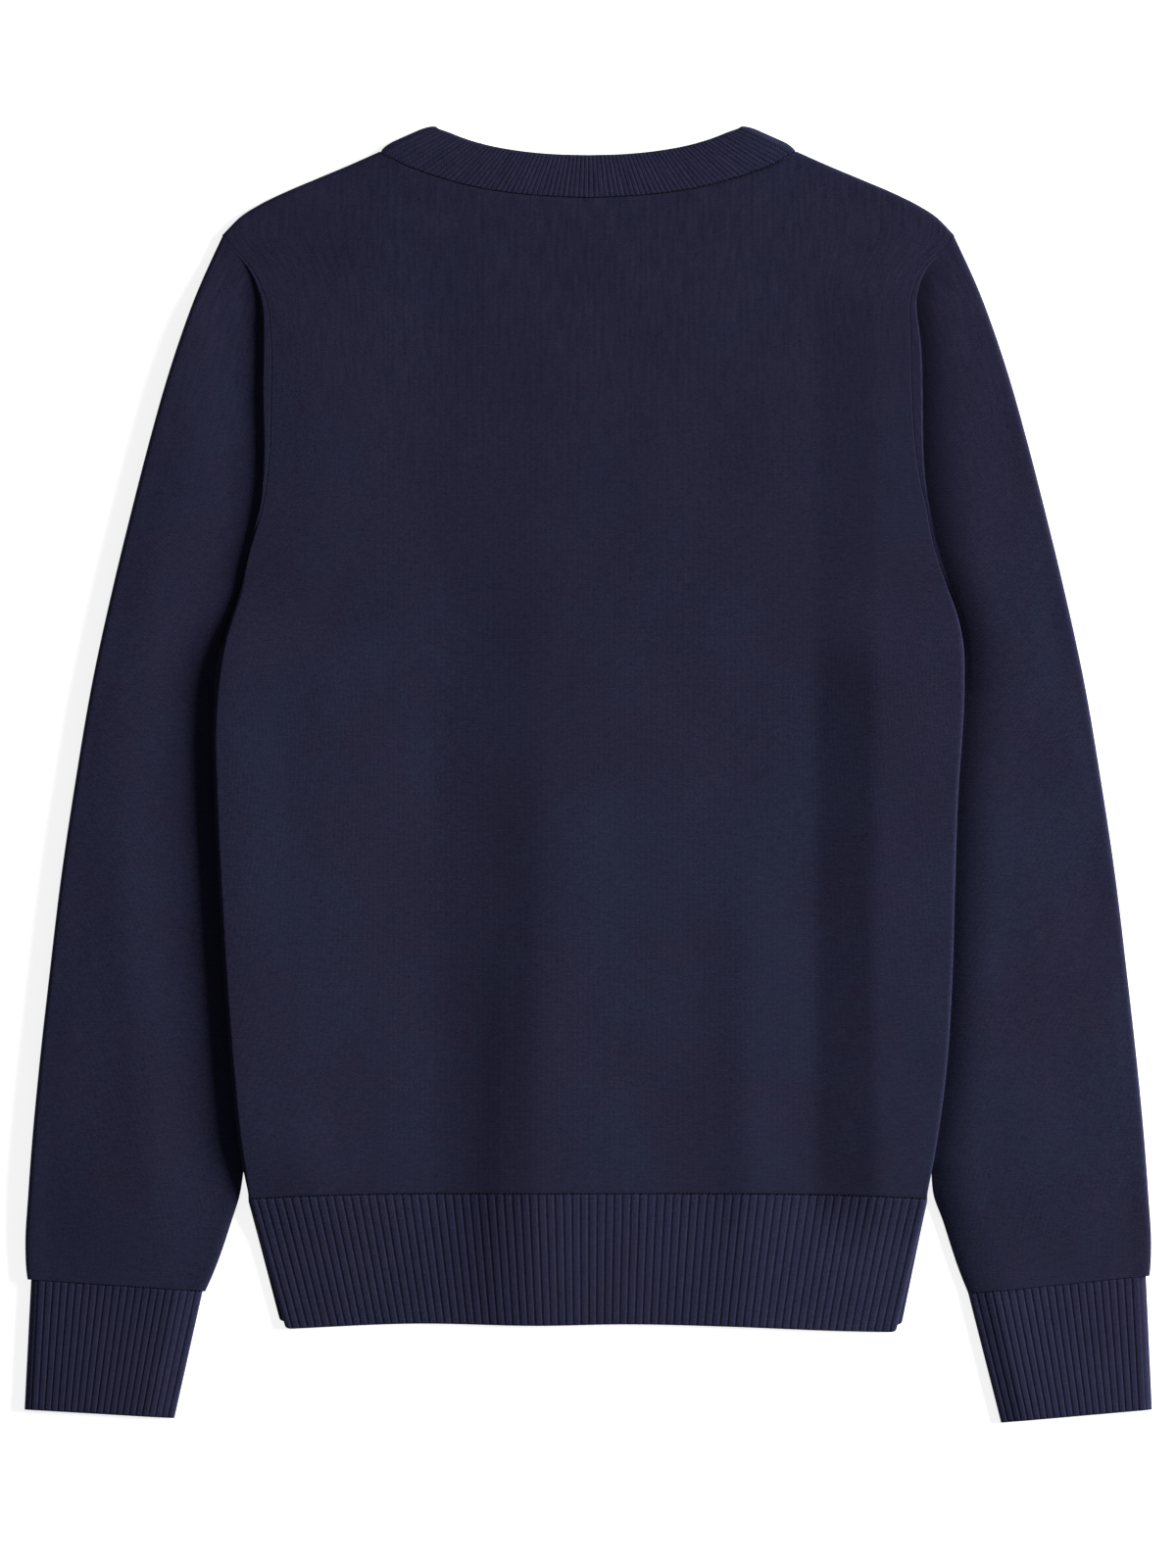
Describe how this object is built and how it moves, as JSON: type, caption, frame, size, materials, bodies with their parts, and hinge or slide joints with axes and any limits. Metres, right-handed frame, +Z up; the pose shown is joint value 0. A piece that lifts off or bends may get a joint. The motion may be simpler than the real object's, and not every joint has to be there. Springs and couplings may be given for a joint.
{
  "type": "v-neck sweater",
  "caption": "Fine-knit long-sleeved V-neck sweater laid flat, back facing up, with ribbed neckband, hem and cuffs; it rests on its front",
  "frame": {"origin": "on the surface the sweater lies on, below the middle of its outline", "axes": "+Y from hem to neck, +X to the right seen from above with the back facing up, +Z up from the surface"},
  "size_m": [0.6316, 0.7292, 0.0101],
  "materials": {
    "knit": "matt fine stockinette knit, navy",
    "rib": "matt fine rib knit, navy"
  },
  "bodies": {
    "root": {"back_panel": "knit", "front_panel": "knit", "sleeve_left": "knit", "sleeve_right": "knit", "neckband": "rib", "hem_band_back": "rib", "hem_band_front": "rib", "cuff_left": "rib", "cuff_right": "rib"}
  },
  "joints": []
}
